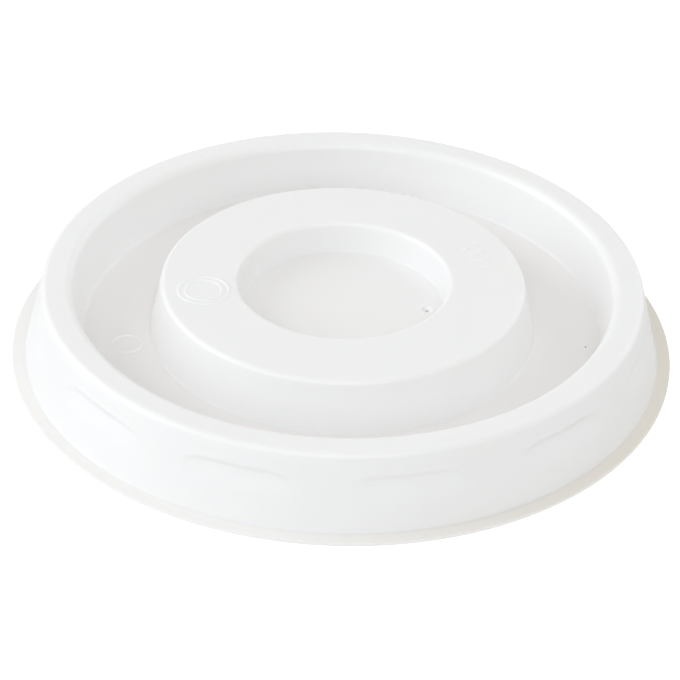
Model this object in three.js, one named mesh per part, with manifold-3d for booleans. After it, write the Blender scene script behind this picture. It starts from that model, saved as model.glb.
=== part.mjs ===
// Coffee cup lid: one thin-walled moulding that snaps over the rolled rim of a paper cup.
// Millimetres, +Z up. The origin is at the centre of the flange's underside, where the lid rests.
import * as THREE from "three";
import { mergeVertices } from "three/addons/utils/BufferGeometryUtils.js";
import Module from "manifold-3d";

const wasm = await Module();
wasm.setup();

// The cup that the lid fits, and the wall
const cupRimDiameter = 90;
const rimClearance = 0.2;
const wall = 0.45;

// Rim channel, which takes the cup's rolled rim from below
const overallHeight = 11.87;
const channelWidth = 4.05;
const channelDraft = 8.6;
const rimOuterBend = 0.5;
const rimInnerBend = 0.98;

// Skirt and the flange at its foot
const skirtFlare = 14.4;
const skirtFootBend = 0.4;
const flangeWidth = 2.14;

// Snap lugs, pressed inwards through the skirt to grip under the cup's roll
const lugCount = 12;
const lugArc = 20.7;
const lugPhase = 12.75;
const lugDepth = 0.6;
const lugTopBelowRim = 2.6;
const lugHeight = 2.7;
const lugShoulder = 0.3;
const lugEndDrop = 1;

// Moat between the rim and the raised centre
const moatHeight = 3.31;
const moatOuterBend = 0.6;

// Raised centre
const plateauDiameter = 55.1;
const plateauHeight = 11.35;
const plateauDraft = 12.1;
const plateauFootBend = 0.5;
const plateauEdgeBend = 0.35;

// Recess in the raised centre
const recessDiameter = 32.2;
const recessDepth = 5.09;
const recessDraft = 4.2;
const recessEdgeBend = 0.25;
const recessFootBend = 0.5;

// Steam vent: a small dish in the recess floor with a pierced hole
const ventOffset = 12.9;
const ventDishDiameter = 2.1;
const ventDishDepth = 0.5;
const ventHoleDiameter = 0.5;

// Drain pinhole in the moat floor, near its outer wall
const pinholeInset = 2.2;
const pinholeAzimuth = -7.6;
const pinholeDiameter = 0.5;

// Fineness of the facets
const stepsPerLugPitch = 6;
const bendStepAngle = 32;
const lugRows = 5;
const holeSides = 16;

const radians = THREE.MathUtils.degToRad;
const point = (radius, height) => new THREE.Vector2(radius, height);

// Radius of a drafted wall at a height, from a radius known at another height
const drafted = (radius, knownHeight, height, draft) => radius + (knownHeight - height) * Math.tan(radians(draft));

const channelOuterRadius = cupRimDiameter / 2 + rimClearance;
const rimRadius = channelOuterRadius + wall;
const rimInnerRadius = channelOuterRadius - channelWidth - wall;
const skirtAt = (height) => drafted(rimRadius, overallHeight - rimOuterBend - wall, height, skirtFlare);
const channelAt = (height) => drafted(rimInnerRadius, overallHeight - rimInnerBend - wall, height, -channelDraft);
const plateauFootRadius = drafted(plateauDiameter / 2, plateauHeight, moatHeight, plateauDraft);
const recessFloorHeight = plateauHeight - recessDepth;
const recessFloorRadius = drafted(recessDiameter / 2, plateauHeight, recessFloorHeight, -recessDraft);
const lugTop = overallHeight - lugTopBelowRim;
const lugBottom = lugTop - lugHeight;

// Corners of the upper surface, from the axis outwards. A bend is the radius on the inside of its corner.
const upperCorners = [
  { at: point(0, recessFloorHeight), bend: 0 },
  { at: point(recessFloorRadius, recessFloorHeight), bend: recessFootBend },
  { at: point(recessDiameter / 2, plateauHeight), bend: recessEdgeBend },
  { at: point(plateauDiameter / 2, plateauHeight), bend: plateauEdgeBend },
  { at: point(plateauFootRadius, moatHeight), bend: plateauFootBend },
  { at: point(channelAt(moatHeight), moatHeight), bend: moatOuterBend },
  { at: point(channelAt(overallHeight), overallHeight), bend: rimInnerBend },
  { at: point(skirtAt(overallHeight), overallHeight), bend: rimOuterBend },
  ...lugBandCorners(),
  { at: point(skirtAt(wall), wall), bend: skirtFootBend },
  { at: point(skirtAt(wall) + flangeWidth, wall), bend: 0 },
];

// Extra points down the skirt, which the snap lugs move
function lugBandCorners() {
  return Array.from({ length: lugRows + 1 }, (_, row) => {
    const height = lugTop - (lugHeight * row) / lugRows;
    return { at: point(skirtAt(height), height), bend: 0 };
  });
}

// Moves each corner by a distance to the right of the walk, so that the wall keeps its thickness
function offsetCorners(corners, distance) {
  const directions = corners.slice(1).map((corner, i) => corner.at.clone().sub(corners[i].at).normalize());
  return corners.map((corner, i) => {
    const before = directions[Math.max(i - 1, 0)];
    const after = directions[Math.min(i, directions.length - 1)];
    const mean = before.clone().add(after).normalize();
    const stretch = distance / mean.dot(after);
    return corner.at.clone().add(point(mean.y, -mean.x).multiplyScalar(stretch));
  });
}

// Walks one surface of the wall and rounds its corners, the outside of each bend one wall larger than its inside
function roundedPath(corners, distance) {
  const places = offsetCorners(corners, distance);
  return corners.flatMap(({ bend }, i) => {
    if (bend === 0) return [places[i]];
    const before = places[i].clone().sub(places[i - 1]).normalize();
    const after = places[i + 1].clone().sub(places[i]).normalize();
    const turn = Math.atan2(before.cross(after), before.dot(after));
    const insideIsHere = turn > 0 === (distance === 0);
    const radius = insideIsHere ? bend : bend + wall;
    const tangent = radius * Math.tan(Math.abs(turn) / 2);
    const side = point(-before.y, before.x).multiplyScalar(Math.sign(turn) * radius);
    const start = places[i].clone().addScaledVector(before, -tangent);
    const centre = start.clone().add(side);
    const steps = Math.max(2, Math.round(Math.abs(turn) / radians(bendStepAngle)));
    return Array.from({ length: steps + 1 }, (_, k) => start.clone().rotateAround(centre, (turn * k) / steps));
  });
}

// How far a point of the skirt is pressed in: a full-depth press with round ends, steep above and easing out below
function lugPress(azimuth, height) {
  const pitch = 360 / lugCount;
  const fromCentre = THREE.MathUtils.euclideanModulo(azimuth - lugPhase + pitch / 2, pitch) - pitch / 2;
  const across = Math.abs(fromCentre) / (lugArc / 2);
  const top = lugTop - lugEndDrop * across ** 2;
  const down = (top - height) / (top - lugBottom);
  if (across >= 1 || down <= 0 || down >= 1) return 0;
  const depth = down < lugShoulder
    ? Math.sin((Math.PI / 2) * (down / lugShoulder))
    : Math.cos((Math.PI / 2) * ((down - lugShoulder) / (1 - lugShoulder))) ** 2;
  return lugDepth * depth * (1 - across ** 4);
}

// Turns a closed geometry into a solid
function solidOf(geometry) {
  const bare = geometry.clone().deleteAttribute("normal").deleteAttribute("uv");
  const merged = mergeVertices(bare, 1e-4);
  const triVerts = new Uint32Array(merged.index.array);
  return new wasm.Manifold(new wasm.Mesh({ numProp: 3, vertProperties: merged.attributes.position.array, triVerts }));
}

// Turns a solid back into a geometry with flat facets
function geometryOf(solid) {
  const { vertProperties, triVerts } = solid.getMesh();
  const indexed = new THREE.BufferGeometry();
  indexed.setAttribute("position", new THREE.BufferAttribute(vertProperties, 3));
  indexed.setIndex(new THREE.BufferAttribute(triVerts, 1));
  const facets = indexed.toNonIndexed();
  facets.computeVertexNormals();
  return facets;
}

// Revolves a profile about +Z. Its points run with the material on their left.
function revolve(profile, segments, startAngle = 0) {
  return new THREE.LatheGeometry(profile, segments, startAngle).rotateX(Math.PI / 2);
}

// The formed sheet: one closed profile round the wall, with the lugs pressed into the skirt
function formedSheet() {
  const underside = roundedPath(upperCorners, wall);
  const upperSide = roundedPath(upperCorners, 0);
  const sheet = revolve([...underside, ...upperSide.reverse()], lugCount * stepsPerLugPitch, radians(lugPhase));
  const positions = sheet.getAttribute("position");
  const vertex = new THREE.Vector3();
  for (let i = 0; i < positions.count; i += 1) {
    vertex.fromBufferAttribute(positions, i);
    const radius = Math.hypot(vertex.x, vertex.y);
    if (radius < channelOuterRadius) continue;
    const azimuth = THREE.MathUtils.radToDeg(Math.atan2(vertex.y, vertex.x));
    const share = 1 - lugPress(azimuth, vertex.z) / radius;
    positions.setXY(i, vertex.x * share, vertex.y * share);
  }
  return solidOf(sheet);
}

// A cylinder along Z through the sheet at a height
function drill(diameter, height) {
  return new THREE.CylinderGeometry(diameter / 2, diameter / 2, 4 * wall, holeSides)
    .rotateX(Math.PI / 2)
    .translate(0, 0, height - wall / 2);
}

// The vent's dish: a ring of the same wall that sinks from the recess floor to the pierced hole
function ventDish() {
  const edge = ventDishDiameter / 2 + wall;
  const bottom = recessFloorHeight - ventDishDepth;
  const profile = [
    point(ventHoleDiameter / 2, bottom - wall),
    point(ventDishDiameter / 2, bottom - wall),
    point(edge, recessFloorHeight - wall),
    point(edge, recessFloorHeight),
    point(ventDishDiameter / 2, recessFloorHeight),
    point(ventDishDiameter / 2 - wall, bottom),
    point(ventHoleDiameter / 2, bottom),
  ];
  return revolve([...profile, profile[0]], holeSides);
}

function lidGeometry() {
  const dishOpening = drill(ventDishDiameter + wall, recessFloorHeight).translate(ventOffset, 0, 0);
  const dish = ventDish().translate(ventOffset, 0, 0);
  const pinhole = drill(pinholeDiameter, moatHeight)
    .translate(channelAt(moatHeight) - pinholeInset, 0, 0)
    .rotateZ(radians(pinholeAzimuth));
  const shell = formedSheet().subtract(solidOf(dishOpening)).add(solidOf(dish)).subtract(solidOf(pinhole));
  return geometryOf(shell);
}

const milkyPlastic = new THREE.MeshStandardMaterial({ color: 0xf1efeb, roughness: 0.32, metalness: 0 });

const lid = new THREE.Mesh(lidGeometry(), milkyPlastic);
lid.name = "lid";

const coffeeCupLid = new THREE.Group();
coffeeCupLid.add(lid);

export default coffeeCupLid;
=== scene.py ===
import math

import bpy
from mathutils import Matrix, Vector


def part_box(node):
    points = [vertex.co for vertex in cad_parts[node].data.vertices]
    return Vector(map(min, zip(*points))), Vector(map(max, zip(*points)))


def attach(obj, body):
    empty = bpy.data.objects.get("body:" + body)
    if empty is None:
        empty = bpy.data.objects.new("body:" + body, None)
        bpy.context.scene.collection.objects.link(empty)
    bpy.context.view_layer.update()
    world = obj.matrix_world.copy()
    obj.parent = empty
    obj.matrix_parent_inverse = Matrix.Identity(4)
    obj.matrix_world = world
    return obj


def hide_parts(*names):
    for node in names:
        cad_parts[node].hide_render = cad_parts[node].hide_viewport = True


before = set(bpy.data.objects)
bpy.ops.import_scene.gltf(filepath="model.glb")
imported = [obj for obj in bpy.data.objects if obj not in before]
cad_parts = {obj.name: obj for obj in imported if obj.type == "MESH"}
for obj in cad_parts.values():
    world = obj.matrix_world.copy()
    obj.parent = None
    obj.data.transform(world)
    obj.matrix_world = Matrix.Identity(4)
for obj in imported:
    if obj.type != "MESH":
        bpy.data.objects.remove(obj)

mm = 0.001
touching = 1e-6  # closer than this counts as the same place
scene = bpy.context.scene
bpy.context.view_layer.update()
lidLow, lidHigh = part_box("lid")
print("frame loaded")


# helpers

def selectOnly(piece):
    bpy.ops.object.select_all(action="DESELECT")
    piece.select_set(True)
    bpy.context.view_layer.objects.active = piece


def pick(piece, kind, test):
    # selects the vertices, edges or faces that pass the test, in edit mode
    bpy.ops.mesh.select_all(action="DESELECT")
    bpy.ops.mesh.select_mode(type=kind)
    bpy.ops.object.mode_set(mode="OBJECT")
    items = {"VERT": piece.data.vertices, "EDGE": piece.data.edges, "FACE": piece.data.polygons}[kind]
    for item in items:
        item.select = test(item)
    bpy.ops.object.mode_set(mode="EDIT")


def applyModifier(piece, name):
    selectOnly(piece)
    bpy.ops.object.modifier_apply(modifier=name)


def combine(piece, tool, operation):
    # boolean with a tool object, which is then thrown away
    step = piece.modifiers.new("combine", "BOOLEAN")
    step.operation = operation
    step.solver = "EXACT"
    step.object = tool
    applyModifier(piece, step.name)
    bpy.data.objects.remove(tool)


# camera, matched to the photo's ellipses

cameraSettings = {
    "distance": 357.6 * mm,
    "elevation": 33.88,
    "pan": 0.036,
    "roll": 1.616,
    "lens": 122.6,
    "sensor": 36.0,
    "clipStart": 10 * mm,
}


def addCamera(s):
    camera = bpy.data.objects.new("camera", bpy.data.cameras.new("camera"))
    scene.collection.objects.link(camera)
    camera.data.lens = s["lens"]
    camera.data.sensor_width = s["sensor"]
    camera.data.sensor_fit = "HORIZONTAL"
    camera.data.clip_start = s["clipStart"]
    rise = math.radians(s["elevation"])
    turn = Matrix.Rotation(math.pi / 2 - rise, 4, "X")
    turn @= Matrix.Rotation(math.radians(s["pan"]), 4, "Y")
    turn @= Matrix.Rotation(math.radians(s["roll"]), 4, "Z")
    place = Vector((0, -math.cos(rise), math.sin(rise))) * s["distance"]
    camera.matrix_world = Matrix.Translation(place) @ turn
    scene.camera = camera


addCamera(cameraSettings)
print("camera placed")


# the lid's shell: its upper surface is drawn as a half section, spun, pressed and given its wall

lidShape = {
    "wall": 0.45 * mm,
    "spinSteps": 432,
    "bendSegments": 6,
    "rimRadius": 45.65 * mm,
    "rimOuterBend": 0.95 * mm,
    "rimInnerRadius": 40.7 * mm,
    "rimInnerBend": 1.43 * mm,
    "skirtFlare": 14.4,
    "skirtFootBend": 0.4 * mm,
    "channelDraft": 8.6,
    "moatHeight": 3.31 * mm,
    "moatBend": 0.6 * mm,
    "plateauRadius": 27.55 * mm,
    "plateauHeight": 11.35 * mm,
    "plateauDraft": 12.1,
    "plateauEdgeBend": 0.8 * mm,
    "plateauFootBend": 0.5 * mm,
    "recessRadius": 16.1 * mm,
    "recessHeight": 6.26 * mm,
    "recessDraft": 4.2,
    "recessEdgeBend": 0.7 * mm,
    "recessFootBend": 0.5 * mm,
    "floorRing": 14.6 * mm,
    "mergeDistance": 0.002 * mm,
    "smoothAngle": 38,
}

lugShape = {
    "count": 12,
    "arc": 20.7,
    "phase": 12.75,
    "depth": 0.34 * mm,
    "top": 9.36 * mm,
    "height": 4.8 * mm,
    "lip": 0.09,
    "swell": 0.05 * mm,
    "shoulder": 0.3,
    "endDrop": 1.6 * mm,
    "dropPower": 5,
    "endPower": 6,
    "rows": 40,
}

ventShape = {
    "offset": 12.9 * mm,
    "dishRadius": 1.05 * mm,
    "dishDepth": 0.5 * mm,
    "holeRadius": 0.2 * mm,
    "sides": 64,
    "rings": 8,
}


def leaning(radius, knownHeight, height, draft):
    return radius + (knownHeight - height) * math.tan(math.radians(draft))


def halfSection(s, lug):
    # radius, height and bend radius of each corner, from the recess floor out to the flange's edge
    height = lidHigh[2]
    wall = s["wall"]

    def skirt(level):
        return leaning(s["rimRadius"], height - s["rimOuterBend"], level, s["skirtFlare"])

    def channel(level):
        return leaning(s["rimInnerRadius"], height - s["rimInnerBend"], level, -s["channelDraft"])

    recessFoot = leaning(s["recessRadius"], s["plateauHeight"], s["recessHeight"], -s["recessDraft"])
    plateauFoot = leaning(s["plateauRadius"], s["plateauHeight"], s["moatHeight"], s["plateauDraft"])
    lugFoot = lug["top"] - lug["height"]
    return [
        (s["floorRing"], s["recessHeight"], 0),
        (recessFoot, s["recessHeight"], s["recessFootBend"]),
        (s["recessRadius"], s["plateauHeight"], s["recessEdgeBend"]),
        (s["plateauRadius"], s["plateauHeight"], s["plateauEdgeBend"]),
        (plateauFoot, s["moatHeight"], s["plateauFootBend"]),
        (channel(s["moatHeight"]), s["moatHeight"], s["moatBend"]),
        (channel(height), height, s["rimInnerBend"]),
        (skirt(height), height, s["rimOuterBend"]),
        (skirt(lug["top"]), lug["top"], 0),
        (skirt(lugFoot), lugFoot, 0),
        (skirt(wall), wall, s["skirtFootBend"]),
        (lidHigh[0], wall, 0),
    ]


def drawSection(piece, corners):
    # one vertex extruded from corner to corner, then each bend rounded
    bpy.ops.object.mode_set(mode="EDIT")
    bpy.ops.mesh.select_all(action="SELECT")
    bpy.ops.mesh.merge(type="CENTER")
    for before, after in zip(corners, corners[1:]):
        step = (after[0] - before[0], 0, after[1] - before[1])
        bpy.ops.mesh.extrude_region_move(TRANSFORM_OT_translate={"value": step})
    for i, (radius, level, bend) in enumerate(corners):
        if bend == 0:
            continue
        here = Vector((radius, 0, level))
        inward = Vector((corners[i - 1][0], 0, corners[i - 1][1])) - here
        outward = Vector((corners[i + 1][0], 0, corners[i + 1][1])) - here
        reach = bend / math.tan(inward.angle(outward) / 2)
        pick(piece, "VERT", lambda v: (v.co - here).length < touching)
        bpy.ops.mesh.bevel(offset=reach, segments=lidShape["bendSegments"], affect="VERTICES")


def ventDish(s, level):
    # rings of the dish, from its edge down to the pierced hole
    centre = (s["offset"], 0, level)
    bpy.ops.mesh.primitive_circle_add(vertices=s["sides"], radius=s["dishRadius"], location=centre)
    dish = bpy.context.object
    selectOnly(dish)
    bpy.ops.object.transform_apply(location=True, rotation=True, scale=True)
    bpy.ops.object.mode_set(mode="EDIT")
    bpy.ops.mesh.select_all(action="SELECT")
    radius, depth = s["dishRadius"], 0.0
    for ring in range(1, s["rings"] + 1):
        share = ring / s["rings"]
        nextRadius = s["dishRadius"] + (s["holeRadius"] - s["dishRadius"]) * share
        nextDepth = s["dishDepth"] * math.sin(math.pi / 2 * share) ** 2
        shrink = nextRadius / radius
        bpy.ops.mesh.extrude_region_move(TRANSFORM_OT_translate={"value": (0, 0, depth - nextDepth)})
        bpy.ops.transform.resize(value=(shrink, shrink, 1), center_override=centre)
        radius, depth = nextRadius, nextDepth
    bpy.ops.object.mode_set(mode="OBJECT")
    return dish


def lugPress(s, azimuth, height):
    # how far the skirt is pressed in, from the top down: a slight swell, a soft ledge, an easy run-out
    pitch = 360 / s["count"]
    fromCentre = (azimuth - s["phase"] + pitch / 2) % pitch - pitch / 2
    across = abs(fromCentre) / (s["arc"] / 2)
    top = s["top"] - s["endDrop"] * across ** s["dropPower"]
    down = (top - height) / (top - s["top"] + s["height"])
    if across >= 1 or down <= 0 or down >= 1:
        return 0
    if down < s["lip"]:
        press = -s["swell"] * math.sin(math.pi * down / s["lip"]) ** 2
    elif down < s["shoulder"]:
        ledge = (down - s["lip"]) / (s["shoulder"] - s["lip"])
        press = s["depth"] * math.sin(math.pi / 2 * ledge) ** 2
    else:
        runOut = (down - s["shoulder"]) / (1 - s["shoulder"])
        press = s["depth"] * math.cos(math.pi / 2 * runOut) ** 2
    return press * (1 - across ** s["endPower"])


def pressLugs(piece, s):
    for vertex in piece.data.vertices:
        radius = math.hypot(vertex.co.x, vertex.co.y)
        if radius < lidShape["rimRadius"] - lidShape["wall"]:
            continue
        azimuth = math.degrees(math.atan2(vertex.co.y, vertex.co.x))
        share = 1 - lugPress(s, azimuth, vertex.co.z) / radius
        vertex.co.x *= share
        vertex.co.y *= share


def addLidShell():
    corners = halfSection(lidShape, lugShape)
    start = (corners[0][0], 0, corners[0][1])
    bpy.ops.object.select_all(action="DESELECT")
    bpy.ops.mesh.primitive_plane_add(size=1 * mm, location=start)
    shell = bpy.context.object
    shell.name = "lid_shell"
    selectOnly(shell)
    bpy.ops.object.transform_apply(location=True, rotation=True, scale=True)
    drawSection(shell, corners)

    # fine rows where the lugs are pressed in
    lugTop = lugShape["top"] + touching
    lugFoot = lugShape["top"] - lugShape["height"] - touching
    pick(shell, "VERT", lambda v: lugFoot < v.co.z < lugTop and v.co.x > lidShape["rimRadius"])
    bpy.ops.mesh.subdivide(number_cuts=lugShape["rows"])

    bpy.ops.mesh.select_all(action="SELECT")
    turns = {"steps": lidShape["spinSteps"], "angle": 2 * math.pi}
    bpy.ops.mesh.spin(center=(0, 0, 0), axis=(0, 0, 1), **turns)
    bpy.ops.mesh.select_all(action="SELECT")
    bpy.ops.mesh.remove_doubles(threshold=lidShape["mergeDistance"])
    bpy.ops.object.mode_set(mode="OBJECT")

    # the recess floor runs flat from the spun ring to the vent's dish
    dish = ventDish(ventShape, lidShape["recessHeight"])
    selectOnly(shell)
    dish.select_set(True)
    bpy.ops.object.join()
    bpy.ops.object.mode_set(mode="EDIT")
    level = lidShape["recessHeight"]

    def onFloorRings(v):
        fromAxis = math.hypot(v.co.x, v.co.y)
        fromVent = math.hypot(v.co.x - ventShape["offset"], v.co.y)
        outerRing = abs(fromAxis - lidShape["floorRing"]) < touching
        innerRing = abs(fromVent - ventShape["dishRadius"]) < touching
        return abs(v.co.z - level) < touching and (outerRing or innerRing)

    pick(shell, "VERT", onFloorRings)
    bpy.ops.mesh.fill()
    bpy.ops.mesh.select_all(action="SELECT")
    bpy.ops.mesh.normals_make_consistent(inside=False)
    bpy.ops.object.mode_set(mode="OBJECT")
    pressLugs(shell, lugShape)
    return shell


shell = addLidShell()
print("shell spun:", len(shell.data.polygons), "faces")


# plain raised marks on the upper faces, small moulding details with no meaning

markShape = {
    "bead": 0.3 * mm,
    "sunk": 0.16 * mm,
    "ringSteps": 96,
    "beadSteps": 20,
    "plateauRings": [3.8 * mm, 2.75 * mm],
    "plateauRingPlace": (21.4 * mm, -167.9),
    "moatRing": 2.3 * mm,
    "moatRingPlace": (33.2 * mm, -167.0),
    "barLength": 3.0 * mm,
    "barWidth": 0.6 * mm,
    "barRadius": 22.1 * mm,
    "barRounding": 0.27 * mm,
    "barRoundSteps": 5,
    "barAzimuths": [12, 17, 22, 27],
}

pinholeShape = {
    "radius": 0.2 * mm,
    "offset": 37.4 * mm,
    "azimuth": -7.6,
    "sides": 48,
    "drillLength": 2.7 * mm,
}


def onPlan(radius, azimuth, level):
    angle = math.radians(azimuth)
    return (radius * math.cos(angle), radius * math.sin(angle), level)


def addRing(s, radius, place, level):
    bpy.ops.mesh.primitive_torus_add(
        location=onPlan(*place, level - s["sunk"]),
        major_radius=radius,
        minor_radius=s["bead"],
        major_segments=s["ringSteps"],
        minor_segments=s["beadSteps"],
    )
    ring = bpy.context.object
    selectOnly(ring)
    bpy.ops.object.transform_apply(location=True, rotation=True, scale=True)
    return ring


def addBar(s, azimuth, level):
    # a short rounded bar along the radius
    place = onPlan(s["barRadius"], azimuth, level - s["sunk"])
    bpy.ops.mesh.primitive_cube_add(size=1, location=place)
    bar = bpy.context.object
    bar.scale = (s["barLength"], s["barWidth"], 2 * s["bead"])
    bar.rotation_euler.z = math.radians(azimuth)
    selectOnly(bar)
    bpy.ops.object.transform_apply(location=True, rotation=True, scale=True)
    bpy.ops.object.mode_set(mode="EDIT")
    bpy.ops.mesh.select_all(action="SELECT")
    bpy.ops.mesh.bevel(offset=s["barRounding"], segments=s["barRoundSteps"])
    bpy.ops.object.mode_set(mode="OBJECT")
    return bar


def addPinholeDrill(s, level):
    bpy.ops.mesh.primitive_cylinder_add(
        vertices=s["sides"],
        radius=s["radius"],
        depth=s["drillLength"],
        location=onPlan(s["offset"], s["azimuth"], level),
    )
    drill = bpy.context.object
    selectOnly(drill)
    bpy.ops.object.transform_apply(location=True, rotation=True, scale=True)
    return drill


def finishShell(piece):
    skin = piece.modifiers.new("wall", "SOLIDIFY")
    skin.thickness = lidShape["wall"]
    skin.offset = -1
    skin.use_even_offset = True
    applyModifier(piece, skin.name)
    top, moat = lidShape["plateauHeight"], lidShape["moatHeight"]
    combine(piece, addPinholeDrill(pinholeShape, moat), "DIFFERENCE")
    for radius in markShape["plateauRings"]:
        combine(piece, addRing(markShape, radius, markShape["plateauRingPlace"], top), "UNION")
    moatRing = addRing(markShape, markShape["moatRing"], markShape["moatRingPlace"], moat)
    combine(piece, moatRing, "UNION")
    for azimuth in markShape["barAzimuths"]:
        combine(piece, addBar(markShape, azimuth, top), "UNION")
    selectOnly(piece)
    bpy.ops.object.shade_smooth_by_angle(angle=math.radians(lidShape["smoothAngle"]))
    flatFaces = piece.modifiers.new("flat faces", "WEIGHTED_NORMAL")
    flatFaces.keep_sharp = True
    applyModifier(piece, flatFaces.name)


finishShell(shell)
print("wall, pinhole and marks done:", len(shell.data.polygons), "faces")


# milky plastic, cooler and paler on the walls and tops, warmer and darker on the low flat faces as
# painted shade, and darker still at the flange's right end as painted shade

plasticLook = {
    "pale": (0.955, 0.955, 0.955, 1),
    # the warmer, darker tone below is painted shade on the low flat faces
    "deep": (0.935, 0.932, 0.928, 1),
    "warmShadeTone": (0.91, 0.888, 0.876, 1),
    "flangePale": (0.9, 0.893, 0.88, 1),
    # the darker flange colour below is painted shade at the flange's right end
    "flangeShadeColour": (0.7, 0.665, 0.59, 1),
    "flangeShadeDrift": (-8 * mm, 62 * mm),
    "flangeBand": (0.05, 0.1),
    "moatBand": (0.06, 0.05),
    "recessBand": (0.05, 0.06),
    "recessShadeShare": 0.5,
    "flatFrom": 0.35,
    "flatFull": 0.85,
    "roughness": (0.26, 0.4),
    "ior": 1.5,
    "subsurface": 0.35,
    "subsurfaceRadius": (1.2, 1.05, 0.95),
    "subsurfaceScale": 0.9 * mm,
    "cloudSize": 14 * mm,
    "cloudDetail": 3.0,
    "ripple": 9 * mm,
    "rippleDetail": 1.0,
    "rippleHeight": 0.05 * mm,
    "grain": 0.35 * mm,
    "grainDetail": 2.0,
    "grainHeight": 0.004 * mm,
}


def addNode(tree, kind, **values):
    # each value goes to the node's own setting of that name, or else to its input
    node = tree.nodes.new(kind)
    for name, value in values.items():
        if hasattr(node, name):
            setattr(node, name, value)
        else:
            node.inputs[name.replace("_", " ")].default_value = value
    return node


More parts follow.
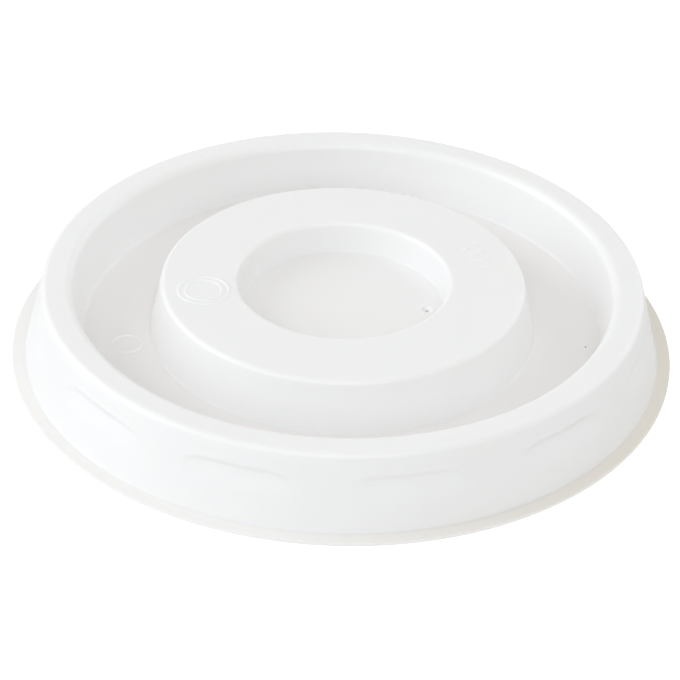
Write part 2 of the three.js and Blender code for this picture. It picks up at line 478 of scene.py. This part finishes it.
def milkyPlastic(s):
    material = bpy.data.materials.new("milky_plastic")
    material.use_nodes = True
    tree = material.node_tree
    shader = tree.nodes["Principled BSDF"]
    shader.inputs["IOR"].default_value = s["ior"]
    shader.inputs["Subsurface Weight"].default_value = s["subsurface"]
    shader.inputs["Subsurface Radius"].default_value = s["subsurfaceRadius"]
    shader.inputs["Subsurface Scale"].default_value = s["subsurfaceScale"]
    place = addNode(tree, "ShaderNodeTexCoord")
    link = tree.links.new

    # soft clouds of tone, as the sheet's thickness drifts
    clouds = addNode(tree, "ShaderNodeTexNoise", Scale=1 / s["cloudSize"], Detail=s["cloudDetail"])
    link(place.outputs["Object"], clouds.inputs["Vector"])
    tone = addNode(tree, "ShaderNodeMix", data_type="RGBA")
    tone.inputs[6].default_value = s["deep"]
    tone.inputs[7].default_value = s["pale"]
    link(clouds.outputs["Fac"], tone.inputs[0])

    # the levels at which the flange, the moat floor and the recess floor turn warmer and darker, as
    # painted shade
    height = addNode(tree, "ShaderNodeSeparateXYZ")
    link(place.outputs["Object"], height.inputs["Vector"])
    band = addNode(tree, "ShaderNodeValToRGB")
    heightShare = addNode(tree, "ShaderNodeMapRange", From_Min=0.0, From_Max=lidHigh[2])
    link(height.outputs["Z"], heightShare.inputs["Value"])
    link(heightShare.outputs["Result"], band.inputs["Fac"])
    stops = band.color_ramp.elements
    moat = lidShape["moatHeight"] / lidHigh[2]
    recess = lidShape["recessHeight"] / lidHigh[2]
    stops[0].position, stops[0].color = s["flangeBand"][0], (1, 1, 1, 1)
    stops[1].position, stops[1].color = recess + s["recessBand"][1], (0, 0, 0, 1)
    warmth = {
        s["flangeBand"][1]: 0,
        moat - s["moatBand"][0]: 0,
        moat: 1,
        moat + s["moatBand"][1]: 0,
        recess - s["recessBand"][0]: 0,
        recess: s["recessShadeShare"],
    }
    for where, level in warmth.items():
        stop = stops.new(where)
        stop.color = (level, level, level, 1)

    # painted shade: the flange turns darker and warmer towards its right end, as if the lid's body
    # shaded it there
    left, right = s["flangeShadeDrift"]
    flangeShadeRamp = addNode(tree, "ShaderNodeMapRange", From_Min=left, From_Max=right)
    link(height.outputs["X"], flangeShadeRamp.inputs["Value"])
    flangeShadeTone = addNode(tree, "ShaderNodeMix", data_type="RGBA")
    flangeShadeTone.inputs[6].default_value = s["flangePale"]
    flangeShadeTone.inputs[7].default_value = s["flangeShadeColour"]
    link(flangeShadeRamp.outputs["Result"], flangeShadeTone.inputs[0])
    low = addNode(tree, "ShaderNodeMath", operation="LESS_THAN")
    low.inputs[1].default_value = lidShape["moatHeight"] / 2
    link(height.outputs["Z"], low.inputs[0])
    lowShadeTone = addNode(tree, "ShaderNodeMix", data_type="RGBA")
    lowShadeTone.inputs[6].default_value = s["warmShadeTone"]
    link(low.outputs[0], lowShadeTone.inputs[0])
    link(flangeShadeTone.outputs[2], lowShadeTone.inputs[7])

    # only faces that look up take the warmer painted shade, and the walls stay pale
    shadedFloorTone = addNode(tree, "ShaderNodeMix", data_type="RGBA")
    link(lowShadeTone.outputs[2], shadedFloorTone.inputs[7])
    flatness = addNode(tree, "ShaderNodeSeparateXYZ")
    link(place.outputs["Normal"], flatness.inputs["Vector"])
    flat = addNode(tree, "ShaderNodeMapRange", From_Min=s["flatFrom"], From_Max=s["flatFull"])
    link(flatness.outputs["Z"], flat.inputs["Value"])
    floorShadeMask = addNode(tree, "ShaderNodeMath", operation="MULTIPLY")
    link(band.outputs["Color"], floorShadeMask.inputs[0])
    link(flat.outputs["Result"], floorShadeMask.inputs[1])
    link(floorShadeMask.outputs[0], shadedFloorTone.inputs[0])
    link(tone.outputs[2], shadedFloorTone.inputs[6])
    link(shadedFloorTone.outputs[2], shader.inputs["Base Color"])

    # satin gloss that drifts a little
    smoothest, roughest = s["roughness"]
    gloss = addNode(tree, "ShaderNodeMapRange", To_Min=smoothest, To_Max=roughest)
    link(clouds.outputs["Fac"], gloss.inputs["Value"])
    link(gloss.outputs["Result"], shader.inputs["Roughness"])

    # slow ripples of the drawn sheet, and its fine grain
    ripple = addNode(tree, "ShaderNodeTexNoise", Scale=1 / s["ripple"], Detail=s["rippleDetail"])
    link(place.outputs["Object"], ripple.inputs["Vector"])
    rippleBump = addNode(tree, "ShaderNodeBump", Strength=1.0, Distance=s["rippleHeight"])
    link(ripple.outputs["Fac"], rippleBump.inputs["Height"])
    grain = addNode(tree, "ShaderNodeTexNoise", Scale=1 / s["grain"], Detail=s["grainDetail"])
    link(place.outputs["Object"], grain.inputs["Vector"])
    grainBump = addNode(tree, "ShaderNodeBump", Strength=1.0, Distance=s["grainHeight"])
    link(grain.outputs["Fac"], grainBump.inputs["Height"])
    link(rippleBump.outputs["Normal"], grainBump.inputs["Normal"])
    link(grainBump.outputs["Normal"], shader.inputs["Normal"])
    return material


shell.data.materials.clear()
shell.data.materials.append(milkyPlastic(plasticLook))
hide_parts("lid")
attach(shell, "root")
print("lid finished in milky plastic")


# floor, light and background

studio = {
    "floorSize": 3.0,
    "floorCuts": 4,
    "floorRoughness": 0.9,
    "floorColour": (0.86, 0.86, 0.86, 1),
    "floorLift": 0.55,
    "skyLight": 0.57,
    "skyTint": (1.0, 0.965, 0.905, 1),
    "lampSize": 0.8,
    "lampDistance": 0.9,
    "lampTint": (0.9, 0.94, 1.0),
    "lamps": [
        {"name": "left", "azimuth": 178, "elevation": 25, "power": 3.8},
        {"name": "front", "azimuth": 272, "elevation": 40, "power": 2.8},
        {"name": "back", "azimuth": 40, "elevation": 28, "power": 1.9},
    ],
}


def addFloor(s):
    cuts = s["floorCuts"]
    bpy.ops.mesh.primitive_grid_add(x_subdivisions=cuts, y_subdivisions=cuts, size=s["floorSize"])
    floor = bpy.context.object
    floor.name = "floor"
    material = bpy.data.materials.new("floor_white")
    material.use_nodes = True
    tree = material.node_tree
    shader = tree.nodes["Principled BSDF"]
    shader.inputs["Base Color"].default_value = s["floorColour"]
    shader.inputs["Roughness"].default_value = s["floorRoughness"]
    shader.inputs["Specular IOR Level"].default_value = 0.0
    # a white page to the camera, with the shadow still on it
    path = addNode(tree, "ShaderNodeLightPath")
    lift = addNode(tree, "ShaderNodeMath", operation="MULTIPLY")
    lift.inputs[1].default_value = s["floorLift"]
    tree.links.new(path.outputs["Is Camera Ray"], lift.inputs[0])
    shader.inputs["Emission Color"].default_value = (1, 1, 1, 1)
    tree.links.new(lift.outputs[0], shader.inputs["Emission Strength"])
    floor.data.materials.append(material)


def addLamp(s, lamp):
    light = bpy.data.objects.new(lamp["name"], bpy.data.lights.new(lamp["name"], "AREA"))
    scene.collection.objects.link(light)
    light.data.energy = lamp["power"]
    light.data.size = s["lampSize"]
    light.data.color = s["lampTint"]
    rise, turn = math.radians(lamp["elevation"]), math.radians(lamp["azimuth"])
    flat = math.cos(rise)
    towards = Vector((flat * math.cos(turn), flat * math.sin(turn), math.sin(rise)))
    light.location = towards * s["lampDistance"]
    light.rotation_euler = towards.to_track_quat("Z", "Y").to_euler()


def addWorld(s):
    # a warm sky on the plastic, and plain white to the camera and in reflections
    world = bpy.data.worlds.new("white")
    scene.world = world
    world.use_nodes = True
    tree = world.node_tree
    background = tree.nodes["Background"]
    path = addNode(tree, "ShaderNodeLightPath")
    seen = addNode(tree, "ShaderNodeMath", operation="MAXIMUM")
    tree.links.new(path.outputs["Is Camera Ray"], seen.inputs[0])
    tree.links.new(path.outputs["Is Glossy Ray"], seen.inputs[1])
    through = addNode(tree, "ShaderNodeMath", operation="MAXIMUM")
    tree.links.new(seen.outputs[0], through.inputs[0])
    tree.links.new(path.outputs["Is Transmission Ray"], through.inputs[1])
    level = addNode(tree, "ShaderNodeMapRange", To_Min=s["skyLight"], To_Max=1.0)
    tree.links.new(through.outputs[0], level.inputs["Value"])
    tree.links.new(level.outputs["Result"], background.inputs["Strength"])
    tint = addNode(tree, "ShaderNodeMix", data_type="RGBA")
    tint.inputs[6].default_value = s["skyTint"]
    tint.inputs[7].default_value = (1, 1, 1, 1)
    tree.links.new(through.outputs[0], tint.inputs[0])
    tree.links.new(tint.outputs[2], background.inputs["Color"])


addFloor(studio)
for lamp in studio["lamps"]:
    addLamp(studio, lamp)
addWorld(studio)
scene.view_settings.view_transform = "Standard"
print("studio ready")
